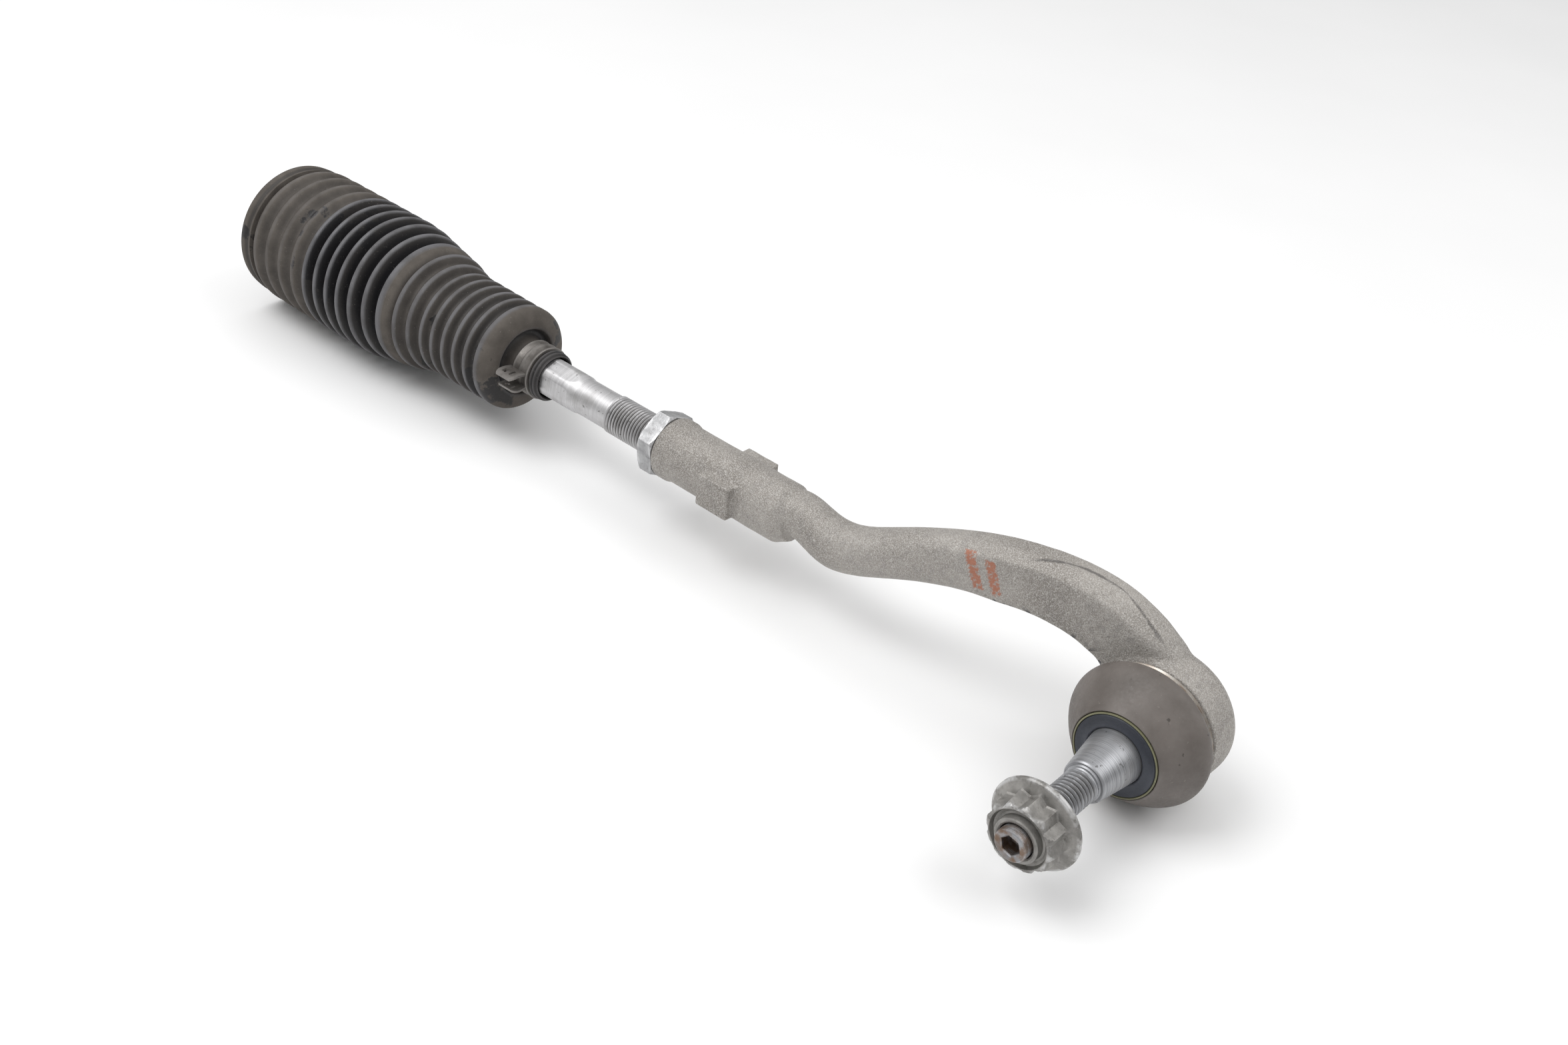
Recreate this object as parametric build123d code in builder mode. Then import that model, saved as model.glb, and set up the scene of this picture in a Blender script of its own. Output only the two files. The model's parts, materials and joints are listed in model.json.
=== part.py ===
"""Steering tie rod assembly: outer ball joint on a swan-neck forged arm, lock nut,
inner tie rod with its rack-end ball joint, and the rack boot over that joint.

Frame: X along the inner tie rod towards the outer ball joint, Z up, the floor at Z = 0.
The stud of the outer joint points along -Y.  Millimetres.
"""
import os
from math import atan2, degrees, radians, sin

from build123d import *

# ---------------------------------------------------------------- driving dimensions
FIT = 0.05                 # radial clearance of a running thread or ball

# rack boot, along the rod axis
BOOT_R = 31.7              # largest radius, which rests on the floor
BOOT_MOUTH_X = -240.1      # open end, as far from the origin as the dust boot
BOOT_MOUTH_R = 30.6
BOOT_CUFF = 6.0            # plain length behind the mouth
BOOT_FACE_X = -83.0        # front face, where the boot steps down to its neck
BOOT_FACE_R = 21.6
BOOT_END_X = -64.5         # tip of the boot's neck
BOOT_WALL = 1.8
BOOT_LINING_R = 8.9        # the neck's inside, round the rod
NECK_R = 9.9               # clamped neck
BEAD_R = 10.7              # bead that stops the clamp
FOLD_TIP = 1.1             # half the flat at a fold's tip
# folds: first tip, pitch, number of folds and depth of the valleys
WIDE_FOLDS = (-227.5, 9.2, 4, 1.8)
DEEP_FOLDS = (-191.8, 7.8, 7, 5.0)
SMALL_FOLDS = (-136.0, 6.8, 8, 2.4)

# clamp on the boot's neck
CLAMP_X = (-78.5, -69.5)
CLAMP_WALL = 1.0
EAR_LENGTH = 9.0
EAR_WIDTH = 10.0
EAR_WALL = 1.4
EAR_SPREAD = 2.6           # from the rod axis to the middle of each ear
EAR_SHIFT = -1.2           # the ears sit a little towards the boot
EAR_HOLE_R = 1.4

# inner tie rod
ROD_R = 7.5                # plain shank
ROD_THREAD_R = 8.0         # M16 x 1.5
ROD_THREAD_X = (-27.0, 40.0)
ROD_THREAD_CHAMFER = 0.75
ROD_HEX_X = (-67.5, -47.0)
ROD_HEX_FLAT = 15.9        # across the wrench flats
ROD_HEX_CORNER_R = 8.55    # the corners are turned down to this

# ball joint at the rack end
RACK_BALL_X = -192.0
RACK_BALL_R = 12.0
RACK_SHELL_R = 14.4        # outer sphere of the bearing shell
RACK_SHELL_X = (-9.0, 6.0)  # ends of the shell, from the ball centre
RACK_NECK_R = 6.0
RACK_CUP_R = 17.5
RACK_CUP_X = (-213.0, -184.0)
RACK_CUP_FLAT = 32.6       # across its two spanner flats
RACK_CUP_LIP_R = 14.2
RACK_CUP_MOUTH_R = 11.4
RACK_THREAD_END_X = -234.0
RACK_THREAD_R = 8.0        # M16 x 1.5 into the steering rack

# lock nut and the arm's sleeve
NUT_X = (-4.5, 2.8)        # the arm's sleeve starts where the nut ends
NUT_FLAT = 24.0
NUT_TURN = 37.0            # how far the nut happens to be turned, in degrees
NUT_CHAMFER = (1.4, 0.9)   # along the radius and along the axis
SLEEVE_R = 11.8
SLEEVE_COLLAR_R = 12.6
SLEEVE_COLLAR = 5.0        # length of the collar
SLEEVE_END_X = 64.0
SLEEVE_BORE_END_X = 52.0
LUG_X = (29.0, 44.5)       # wrench lugs on both sides of the sleeve
LUG_REACH = 14.2
LUG_HEIGHT = 13.6
ARM_NECK_R = 9.0
ARM_ROUNDING = 0.46        # corner radius of the arm's sections, as a share of the smaller side

# ball housing, along the stud axis from the ball centre
BALL_X = 214.5             # centre of the outer ball
BALL_DY = 9.7              # its offset from the rod axis
BALL_R = 11.5
HOUSING_R = 24.0
HOUSING_BACK = 14.0        # to the closed back
HOUSING_MOUTH = 6.0        # to the open mouth
GROOVE_R = 21.0            # floor of the retaining ring's groove
GROOVE_WIDTH = 2.4
SEAT_R = 14.5
SEAT_END = 3.2
LIP_IN_R = 11.3            # lip that holds the seat in
LIP_FLARE = 1.0
CAP_R = 17.0
CAP_WALL = 2.3
CAP_POCKET = 2.6           # depth of the cap's recess
DUST_R = 25.6              # largest radius of the dust boot

# ball stud, along its axis from the ball centre
STUD_REACH = 82.5          # to the end of the stud
STUD_NECK_R = 6.5
STUD_NECK = (11.0, 15.0)
TAPER_BASE = 24.0          # where the cone begins
TAPER_BASE_R = 10.0
TAPER_TIP = 42.7
TAPER_TIP_R = 7.4
STUD_THREAD_R = 6.0        # M12 x 1.75
STUD_CHAMFER = 0.8
SOCKET_FLAT = 6.0
SOCKET_DEPTH = 5.0
SEAL_X = (22.2, 25.0)      # seal ring on the stud's shoulder
SEAL_R = 14.6
SEAL_EDGE = 0.7            # thickness of the ring round it
FLANGE = 67.5              # bearing face of the flange nut
FLANGE_R = 15.8
FLANGE_WALL = 1.8
FLANGE_NUT_END = 78.5
POINT_FLAT = 21.0          # across the flats of the twelve-point drive
POINT_TURN = 30.0          # between the drive's two hexagons, in degrees
NUT_COLLAR_R = 7.8
NUT_COLLAR = 1.2           # how far the collar stands out of the drive
RECESS_R = 9.8
RECESS_DEPTH = 1.4

# ---------------------------------------------------------------- reference places
AXIS_Z = BOOT_R
AXIS_Y = (STUD_REACH - BALL_DY - BOOT_R) / 2
BALL = Vector(BALL_X, AXIS_Y + BALL_DY, DUST_R)
RACK_BALL = (RACK_BALL_X, AXIS_Y, AXIS_Z)
ROD_AXIS = Axis((0, AXIS_Y, AXIS_Z), (1, 0, 0))
STUD_AXIS = Axis(BALL, (0, -1, 0))

# half-planes for turned profiles: local X runs along the axis, local Y is the radius
ROD_PROFILE = Plane(origin=(0, AXIS_Y, AXIS_Z), x_dir=(1, 0, 0), z_dir=(0, -1, 0))
STUD_PROFILE = Plane(origin=BALL, x_dir=(0, -1, 0), z_dir=(1, 0, 0))


def rod_plane(x):
    """Plane square to the rod axis at x, its local X along the assembly's Y."""
    return Plane(origin=(x, AXIS_Y, AXIS_Z), x_dir=(0, 1, 0), z_dir=(1, 0, 0))


def stud_plane(reach):
    """Plane square to the stud axis, reach along it from the ball centre towards the tip."""
    return Plane(origin=BALL + Vector(0, -reach, 0), x_dir=(1, 0, 0), z_dir=(0, -1, 0))


def finish(part, name):
    """Label a finished piece and write its STEP."""
    part.label = name
    export_step(part, f"parts/{name}.step")


os.makedirs("parts", exist_ok=True)

# ---------------------------------------------------------------- rack boot
# radius of the fold tips at a few places: level, then stepping down to the small folds
BOOT_KNEES = [
    (-240.0, 30.9),
    (-226.0, BOOT_R),
    (-164.0, 31.4),
    (-144.0, 27.7),
    (-136.0, 26.2),
    (-125.0, 23.0),
    (-84.0, 22.3),
]


def boot_envelope(x):
    """Radius of the boot's fold tips at x."""
    for (x0, r0), (x1, r1) in zip(BOOT_KNEES, BOOT_KNEES[1:]):
        if x <= x1:
            return r0 + (r1 - r0) * (x - x0) / (x1 - x0)
    return BOOT_KNEES[-1][1]


def boot_outline(inset):
    """Points from the mouth to the last fold; inset moves them inwards by the wall."""
    cuff_end = BOOT_MOUTH_X + BOOT_CUFF
    points = [(BOOT_MOUTH_X, BOOT_MOUTH_R - inset), (cuff_end, BOOT_MOUTH_R + 0.3 - inset)]
    for start, pitch, count, depth in (WIDE_FOLDS, DEEP_FOLDS, SMALL_FOLDS):
        for i in range(count):
            tip = start + i * pitch
            valley = tip - pitch / 2
            points.append((valley, boot_envelope(valley) - depth - inset))
            points.append((tip - FOLD_TIP, boot_envelope(tip) - inset))
            points.append((tip + FOLD_TIP, boot_envelope(tip) - inset))
    return points


TROUGH_R = 16.0            # where the front face meets the trough round the neck
outer = boot_outline(0) + [
    (BOOT_FACE_X, BOOT_FACE_R),
    (BOOT_FACE_X + 1.5, TROUGH_R),
    (BOOT_FACE_X + 0.5, NECK_R),
    (CLAMP_X[1] + 0.8, NECK_R),
    (CLAMP_X[1] + 1.6, BEAD_R),
    (BOOT_END_X - 1.0, BEAD_R),
    (BOOT_END_X, BEAD_R - 1.6),
]
inner = boot_outline(BOOT_WALL) + [
    (BOOT_FACE_X - BOOT_WALL, BOOT_FACE_R - 2.5),
    (BOOT_FACE_X - 1.2, TROUGH_R - 2.0),
    (BOOT_FACE_X - 1.2, BOOT_LINING_R + 0.6),
    (BOOT_FACE_X + 1.5, BOOT_LINING_R),
    (BOOT_END_X, BOOT_LINING_R),
]
with BuildPart() as rack_boot:
    with BuildSketch(ROD_PROFILE):
        with BuildLine():
            Polyline(*outer, *reversed(inner), close=True)
        make_face()
    revolve(axis=ROD_AXIS)
finish(rack_boot.part, "rack_boot")

# ---------------------------------------------------------------- boot clamp
CLAMP_OUT = NECK_R + FIT + CLAMP_WALL
EAR_X = (CLAMP_X[0] + CLAMP_X[1]) / 2 + EAR_SHIFT
EAR_Y = AXIS_Y - CLAMP_OUT - EAR_LENGTH / 2 + 1.0
HOLE_Y = AXIS_Y - CLAMP_OUT - EAR_LENGTH * 0.62
with BuildPart() as boot_clamp:
    with BuildSketch(rod_plane(CLAMP_X[0])):
        Circle(CLAMP_OUT)
        Circle(NECK_R + FIT, mode=Mode.SUBTRACT)
    extrude(amount=CLAMP_X[1] - CLAMP_X[0])
    # two ears stand off the band towards -Y, one above the other
    for side in (-1, 1):
        with Locations((EAR_X, EAR_Y, AXIS_Z + side * EAR_SPREAD)):
            Box(EAR_WIDTH, EAR_LENGTH, EAR_WALL)
    with Locations((EAR_X, HOLE_Y, AXIS_Z)):
        Cylinder(EAR_HOLE_R, 2 * CLAMP_OUT, mode=Mode.SUBTRACT)
finish(boot_clamp.part, "boot_clamp")

# ---------------------------------------------------------------- inner tie rod
with BuildPart() as inner_tie_rod:
    with BuildSketch(ROD_PROFILE):
        with BuildLine():
            ball_arc = CenterArc((RACK_BALL_X, 0), RACK_BALL_R, 30, 150)
            Polyline(
                ball_arc @ 0,
                (RACK_BALL_X + 30, RACK_NECK_R),
                (RACK_BALL_X + 44, ROD_R),
                (ROD_THREAD_X[0] - 0.5, ROD_R),
                (ROD_THREAD_X[0], ROD_THREAD_R),
                (ROD_THREAD_X[1] - ROD_THREAD_CHAMFER, ROD_THREAD_R),
                (ROD_THREAD_X[1], ROD_THREAD_R - ROD_THREAD_CHAMFER),
                (ROD_THREAD_X[1], 0),
                ball_arc @ 1,
            )
        make_face()
    revolve(axis=ROD_AXIS)
    with BuildSketch(rod_plane(ROD_HEX_X[0])):
        RegularPolygon(ROD_HEX_FLAT / 2, 6, major_radius=False)
        Circle(ROD_HEX_CORNER_R, mode=Mode.INTERSECT)
    extrude(amount=ROD_HEX_X[1] - ROD_HEX_X[0])
finish(inner_tie_rod.part, "inner_tie_rod")

# ---------------------------------------------------------------- rack joint: bearing shell
with BuildPart() as rack_joint_bearing:
    with BuildSketch(ROD_PROFILE):
        with Locations((RACK_BALL_X, 0)):
            Circle(RACK_SHELL_R)
            Circle(RACK_BALL_R + FIT, mode=Mode.SUBTRACT)
        with Locations((RACK_BALL_X + RACK_SHELL_X[0], 0)):
            Rectangle(
                RACK_SHELL_X[1] - RACK_SHELL_X[0],
                RACK_SHELL_R + 1,
                align=(Align.MIN, Align.MIN),
                mode=Mode.INTERSECT,
            )
    revolve(axis=ROD_AXIS)
finish(rack_joint_bearing.part, "rack_joint_bearing")

# ---------------------------------------------------------------- rack joint: housing
FLAT_LENGTH = 9.0
FLAT_CUT = 10.0            # thickness of the block that cuts a flat
with BuildPart() as rack_joint_housing:
    with BuildSketch(ROD_PROFILE):
        with BuildLine():
            Polyline(
                (RACK_THREAD_END_X, 0),
                (RACK_THREAD_END_X, RACK_THREAD_R - 1.2),
                (RACK_THREAD_END_X + 1.2, RACK_THREAD_R),
                (RACK_CUP_X[0], RACK_THREAD_R),
                (RACK_CUP_X[0], RACK_CUP_R - 1.5),
                (RACK_CUP_X[0] + 1.5, RACK_CUP_R),
                (RACK_CUP_X[1] - 5.0, RACK_CUP_R),
                (RACK_CUP_X[1], RACK_CUP_LIP_R),
                (RACK_CUP_X[1], 0),
                close=True,
            )
        make_face()
    revolve(axis=ROD_AXIS)
    with Locations(RACK_BALL):
        Sphere(RACK_SHELL_R + 2 * FIT, mode=Mode.SUBTRACT)
    with BuildSketch(rod_plane(RACK_BALL_X)):
        Circle(RACK_CUP_MOUTH_R)
    extrude(amount=RACK_CUP_X[1] - RACK_BALL_X + 1, mode=Mode.SUBTRACT)
    # two spanner flats on the cup
    for side in (-1, 1):
        flat_z = AXIS_Z + side * (RACK_CUP_FLAT / 2 + FLAT_CUT / 2)
        with Locations((RACK_CUP_X[0] + 7, AXIS_Y, flat_z)):
            Box(FLAT_LENGTH, 2 * RACK_CUP_R, FLAT_CUT, mode=Mode.SUBTRACT)
finish(rack_joint_housing.part, "rack_joint_housing")

# ---------------------------------------------------------------- lock nut
NUT_CORNER_R = NUT_FLAT / 2 / sin(radians(60))
NUT_BEYOND_R = NUT_CORNER_R + 0.1
with BuildPart() as lock_nut:
    with BuildSketch(rod_plane(NUT_X[0])):
        RegularPolygon(NUT_FLAT / 2, 6, major_radius=False, rotation=NUT_TURN)
        Circle(ROD_THREAD_R + FIT, mode=Mode.SUBTRACT)
    extrude(amount=NUT_X[1] - NUT_X[0])
    # chamfered corners on both faces
    with BuildSketch(ROD_PROFILE):
        with BuildLine():
            Polyline(
                (NUT_X[0], ROD_THREAD_R),
                (NUT_X[0], NUT_CORNER_R - NUT_CHAMFER[0]),
                (NUT_X[0] + NUT_CHAMFER[1], NUT_BEYOND_R),
                (NUT_X[1] - NUT_CHAMFER[1], NUT_BEYOND_R),
                (NUT_X[1], NUT_CORNER_R - NUT_CHAMFER[0]),
                (NUT_X[1], ROD_THREAD_R),
                close=True,
            )
        make_face()
    revolve(axis=ROD_AXIS, mode=Mode.INTERSECT)
finish(lock_nut.part, "lock_nut")

# ---------------------------------------------------------------- forged arm
# stations of the swan neck: x, its centre's offsets from the rod axis in Y and Z, height, depth
ARM_STATIONS = [
    (SLEEVE_END_X - 3.0, 0.0, 0.0, 18.0, 18.0),
    (82.0, 0.0, 0.0, 18.0, 18.0),
    (98.0, 0.4, 2.6, 17.6, 17.8),
    (112.0, 2.2, 8.6, 18.0, 17.6),
    (128.0, 5.0, 14.6, 19.6, 17.6),
    (146.0, 8.6, 18.9, 21.6, 17.6),
    (168.0, 12.0, 21.5, 23.4, 17.4),
    (186.6, 14.2, 19.4, 26.4, 17.0),
    (201.0, 15.6, 11.8, 30.0, 16.4),
    (210.0, 16.0, 0.0, 35.0, 15.6),
]
CAP_STEP = CAP_POCKET - HOUSING_BACK     # where the cap's recess ends


def station_plane(index):
    """Plane square to the arm's centre line at a station, its local Y across the bend."""
    x0, _, z0, _, _ = ARM_STATIONS[max(index - 1, 0)]
    x1, _, z1, _, _ = ARM_STATIONS[min(index + 1, len(ARM_STATIONS) - 1)]
    slope = degrees(atan2(z1 - z0, x1 - x0))
    x, dy, dz, _, _ = ARM_STATIONS[index]
    normal = Vector(1, 0, 0).rotate(Axis.Y, -slope)
    return Plane(origin=(x, AXIS_Y + dy, AXIS_Z + dz), x_dir=(0, 1, 0), z_dir=normal)


with BuildPart() as forged_arm:
    for number, (_, _, _, height, depth) in enumerate(ARM_STATIONS):
        with BuildSketch(station_plane(number)):
            RectangleRounded(depth, height, min(depth, height) * ARM_ROUNDING)
    loft()
    # sleeve, its end collar and the shoulder towards the swan neck
    with BuildSketch(ROD_PROFILE):
        with BuildLine():
            Polyline(
                (NUT_X[1], 0),
                (NUT_X[1], SLEEVE_COLLAR_R - 0.6),
                (NUT_X[1] + 0.6, SLEEVE_COLLAR_R),
                (NUT_X[1] + SLEEVE_COLLAR, SLEEVE_COLLAR_R),
                (NUT_X[1] + SLEEVE_COLLAR + 1.6, SLEEVE_R),
                (SLEEVE_END_X - 2.0, SLEEVE_R),
                (SLEEVE_END_X, SLEEVE_R - 1.2),
                (SLEEVE_END_X + 3.0, ARM_NECK_R),
                (SLEEVE_END_X + 3.0, 0),
                close=True,
            )
        make_face()
    revolve(axis=ROD_AXIS)
    with Locations(((LUG_X[0] + LUG_X[1]) / 2, AXIS_Y, AXIS_Z)):
        Box(LUG_X[1] - LUG_X[0], 2 * LUG_REACH, LUG_HEIGHT)
    # ball housing
    with BuildSketch(STUD_PROFILE):
        with BuildLine():
            Polyline(
                (-HOUSING_BACK, 0),
                (-HOUSING_BACK, HOUSING_R - 4.5),
                (-HOUSING_BACK + 1.6, HOUSING_R - 1.8),
                (-HOUSING_BACK + 5.0, HOUSING_R),
                (HOUSING_MOUTH - GROOVE_WIDTH - 0.6, HOUSING_R - 0.4),
                (HOUSING_MOUTH - GROOVE_WIDTH, GROOVE_R),
                (HOUSING_MOUTH, GROOVE_R),
                (HOUSING_MOUTH, 0),
                close=True,
            )
        make_face()
    revolve(axis=STUD_AXIS)
    # threaded bore for the rod
    with BuildSketch(rod_plane(NUT_X[1])):
        Circle(ROD_THREAD_R + FIT)
    extrude(amount=SLEEVE_BORE_END_X - NUT_X[1], mode=Mode.SUBTRACT)
    # stepped bore: cap recess, seat bore, lip
    with BuildSketch(STUD_PROFILE):
        with BuildLine():
            Polyline(
                (-HOUSING_BACK, 0),
                (-HOUSING_BACK, CAP_R + FIT),
                (CAP_STEP, CAP_R + FIT),
                (CAP_STEP, SEAT_R + FIT),
                (SEAT_END, SEAT_R + FIT),
                (SEAT_END, LIP_IN_R),
                (HOUSING_MOUTH, LIP_IN_R - LIP_FLARE),
                (HOUSING_MOUTH, 0),
                close=True,
            )
        make_face()
    revolve(axis=STUD_AXIS, mode=Mode.SUBTRACT)
finish(forged_arm.part, "forged_arm")

# ---------------------------------------------------------------- end cap
with BuildPart() as end_cap:
    with BuildSketch(stud_plane(0.2 - HOUSING_BACK)):
        Circle(CAP_R)
    extrude(amount=CAP_WALL)
finish(end_cap.part, "end_cap")

# ---------------------------------------------------------------- ball seat
with BuildPart() as ball_seat:
    with BuildSketch(stud_plane(CAP_STEP)):
        Circle(SEAT_R)
    extrude(amount=SEAT_END - 0.1 - CAP_STEP)
    with Locations(BALL):
        Sphere(BALL_R + FIT, mode=Mode.SUBTRACT)
finish(ball_seat.part, "ball_seat")

# ---------------------------------------------------------------- ball stud
with BuildPart() as ball_stud:
    with BuildSketch(STUD_PROFILE):
        with BuildLine():
            stud_arc = CenterArc((0, 0), BALL_R, 35, 115)
            Polyline(
                stud_arc @ 0,
                (STUD_NECK[0], STUD_NECK_R),
                (STUD_NECK[1], STUD_NECK_R),
                (TAPER_BASE - 2.0, TAPER_BASE_R),
                (TAPER_BASE, TAPER_BASE_R),
                (TAPER_TIP, TAPER_TIP_R),
                (TAPER_TIP + 1.4, STUD_THREAD_R),
                (STUD_REACH - STUD_CHAMFER, STUD_THREAD_R),
                (STUD_REACH, STUD_THREAD_R - STUD_CHAMFER),
                (STUD_REACH, 0),
                ((stud_arc @ 1).X, 0),
                stud_arc @ 1,
            )
        make_face()
    revolve(axis=STUD_AXIS)
    with BuildSketch(stud_plane(STUD_REACH - SOCKET_DEPTH)):
        RegularPolygon(SOCKET_FLAT / 2, 6, major_radius=False)
    extrude(amount=SOCKET_DEPTH + 1, mode=Mode.SUBTRACT)
finish(ball_stud.part, "ball_stud")

# ---------------------------------------------------------------- seal ring on the stud
with BuildPart() as stud_seal_ring:
    with BuildSketch(stud_plane(SEAL_X[0])):
        Circle(SEAL_R)
        Circle(TAPER_BASE_R + FIT, mode=Mode.SUBTRACT)
    extrude(amount=SEAL_X[1] - SEAL_X[0])
finish(stud_seal_ring.part, "stud_seal_ring")

# ---------------------------------------------------------------- edge ring round the seal ring
with BuildPart() as seal_edge_ring:
    with BuildSketch(stud_plane(SEAL_X[1] - 1.2)):
        Circle(SEAL_R + SEAL_EDGE)
        Circle(SEAL_R + FIT, mode=Mode.SUBTRACT)
    extrude(amount=1.0)
finish(seal_edge_ring.part, "seal_edge_ring")

# ---------------------------------------------------------------- dust boot
DUST_FOOT = HOUSING_MOUTH - 0.1          # the boot's foot sits on the housing's mouth
LIP_R = SEAL_R + 1.1
with BuildPart() as dust_boot:
    with BuildSketch(STUD_PROFILE):
        with BuildLine():
            Polyline(
                (DUST_FOOT, 21.6),
                (DUST_FOOT, 23.2),
                (DUST_FOOT + 1.4, 24.9),
                (DUST_FOOT + 3.4, DUST_R),
                (DUST_FOOT + 5.8, 25.0),
                (DUST_FOOT + 9.7, 22.4),
                (DUST_FOOT + 13.7, 19.2),
                (DUST_FOOT + 17.2, LIP_R + 1.0),
                (DUST_FOOT + 18.6, LIP_R),
                (DUST_FOOT + 16.6, LIP_R),
                (DUST_FOOT + 12.8, 18.0),
                (DUST_FOOT + 8.6, 21.2),
                (DUST_FOOT + 5.0, 23.6),
                (DUST_FOOT + 3.4, 23.9),
                (DUST_FOOT + 2.2, 23.2),
                (DUST_FOOT + 1.6, 21.6),
                close=True,
            )
        make_face()
    revolve(axis=STUD_AXIS)
finish(dust_boot.part, "dust_boot")

# ---------------------------------------------------------------- retaining ring in the housing's groove
with BuildPart() as boot_retaining_ring:
    with BuildSketch(stud_plane(HOUSING_MOUTH - GROOVE_WIDTH + 0.2)):
        Circle(HOUSING_R - 0.6)
        Circle(GROOVE_R + 0.1, mode=Mode.SUBTRACT)
    extrude(amount=GROOVE_WIDTH - 0.6)
finish(boot_retaining_ring.part, "boot_retaining_ring")

# ---------------------------------------------------------------- flange nut
BEYOND_POINTS_R = 13.0     # outside the drive's corners
with BuildPart() as flange_nut:
    with BuildSketch(STUD_PROFILE):
        with BuildLine():
            Polyline(
                (FLANGE, 0),
                (FLANGE, FLANGE_R - 0.8),
                (FLANGE + 0.8, FLANGE_R),
                (FLANGE + FLANGE_WALL, FLANGE_R),
                (FLANGE + FLANGE_WALL + 1.4, POINT_FLAT / 2 + 1.0),
                (FLANGE + FLANGE_WALL + 1.4, 0),
                close=True,
            )
        make_face()
    revolve(axis=STUD_AXIS)
    # two hexagons a twelfth of a turn apart make the twelve points
    with BuildSketch(stud_plane(FLANGE + FLANGE_WALL)):
        RegularPolygon(POINT_FLAT / 2, 6, major_radius=False)
        RegularPolygon(POINT_FLAT / 2, 6, major_radius=False, rotation=POINT_TURN)
    extrude(amount=FLANGE_NUT_END - FLANGE - FLANGE_WALL)
    # chamfered and recessed end around a plain collar
    with BuildSketch(STUD_PROFILE):
        with BuildLine():
            Polyline(
                (FLANGE_NUT_END - 1.6, BEYOND_POINTS_R),
                (FLANGE_NUT_END, POINT_FLAT / 2 + 0.1),
                (FLANGE_NUT_END, BEYOND_POINTS_R),
                close=True,
            )
        make_face()
        with BuildLine():
            Polyline(
                (FLANGE_NUT_END - RECESS_DEPTH, NUT_COLLAR_R),
                (FLANGE_NUT_END, RECESS_R),
                (FLANGE_NUT_END, NUT_COLLAR_R),
                close=True,
            )
        make_face()
    revolve(axis=STUD_AXIS, mode=Mode.SUBTRACT)
    with BuildSketch(stud_plane(FLANGE_NUT_END - 0.5)):
        Circle(NUT_COLLAR_R)
    extrude(amount=NUT_COLLAR + 0.5)
    with BuildSketch(stud_plane(FLANGE)):
        Circle(STUD_THREAD_R + FIT)
    extrude(amount=FLANGE_NUT_END - FLANGE + 3.0, mode=Mode.SUBTRACT)
finish(flange_nut.part, "flange_nut")
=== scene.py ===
"""Steering tie rod assembly: the looks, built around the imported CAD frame.  Metres."""
import json
import math

import bmesh
import bpy
import numpy as np
from mathutils import Matrix, Vector, noise


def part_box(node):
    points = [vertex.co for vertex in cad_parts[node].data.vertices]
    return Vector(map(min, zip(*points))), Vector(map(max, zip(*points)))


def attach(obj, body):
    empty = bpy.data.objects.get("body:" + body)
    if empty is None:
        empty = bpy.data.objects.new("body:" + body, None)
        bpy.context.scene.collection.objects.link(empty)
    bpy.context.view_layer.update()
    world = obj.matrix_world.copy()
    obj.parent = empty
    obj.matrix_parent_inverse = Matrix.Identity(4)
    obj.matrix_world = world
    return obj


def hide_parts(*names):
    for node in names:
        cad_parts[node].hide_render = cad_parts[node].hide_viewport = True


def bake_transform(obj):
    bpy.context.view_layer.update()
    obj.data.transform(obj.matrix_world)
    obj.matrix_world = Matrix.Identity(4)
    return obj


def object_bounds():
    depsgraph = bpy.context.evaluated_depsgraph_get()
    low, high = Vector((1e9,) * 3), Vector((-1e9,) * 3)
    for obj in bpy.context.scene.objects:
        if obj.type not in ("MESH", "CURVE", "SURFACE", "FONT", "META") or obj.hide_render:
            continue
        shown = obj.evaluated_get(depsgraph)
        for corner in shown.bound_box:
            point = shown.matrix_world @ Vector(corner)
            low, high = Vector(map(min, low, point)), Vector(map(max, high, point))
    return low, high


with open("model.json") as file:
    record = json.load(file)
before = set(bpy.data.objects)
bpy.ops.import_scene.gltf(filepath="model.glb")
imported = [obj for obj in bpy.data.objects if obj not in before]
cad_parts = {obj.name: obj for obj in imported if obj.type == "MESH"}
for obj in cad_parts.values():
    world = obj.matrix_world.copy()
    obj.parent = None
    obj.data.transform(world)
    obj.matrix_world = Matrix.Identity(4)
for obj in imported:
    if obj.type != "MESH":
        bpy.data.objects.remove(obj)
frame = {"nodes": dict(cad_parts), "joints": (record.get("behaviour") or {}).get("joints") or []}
CAD_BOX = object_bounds()
MM = 0.001
JOINTS = {joint["name"]: joint for joint in frame["joints"]}

# ---------------------------------------------------------------- reference places, from the frame
BALL = Vector(JOINTS["stud_spin"]["pos_m"])          # centre of the outer ball
RACK_BALL = Vector(JOINTS["rack_swing_direction"]["pos_m"])
ROD_POINT = Vector(JOINTS["toe_turn"]["pos_m"])      # on the rod axis at row X = 0
ROD_FRAME = (ROD_POINT, Vector((1, 0, 0)), Vector((0, -1, 0)), Vector((0, 0, 1)))
STUD_FRAME = (BALL, Vector((0, -1, 0)), Vector((1, 0, 0)), Vector((0, 0, 1)))

# ---------------------------------------------------------------- threads: crest radius, depth, pitch in mm
ROD_THREAD = (8.0, 0.95, 1.5)
STUD_THREAD = (6.0, 1.0, 1.75)
STEPS_PER_PITCH = 12


def span(node, axis):
    """Lowest and highest coordinate of a CAD node on one axis, in millimetres."""
    lo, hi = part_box(node)
    return lo[axis] / MM, hi[axis] / MM


def reach(node):
    """The same along the stud, measured from the ball centre towards the stud's tip."""
    lo, hi = span(node, 1)
    return BALL.y / MM - hi, BALL.y / MM - lo


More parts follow.
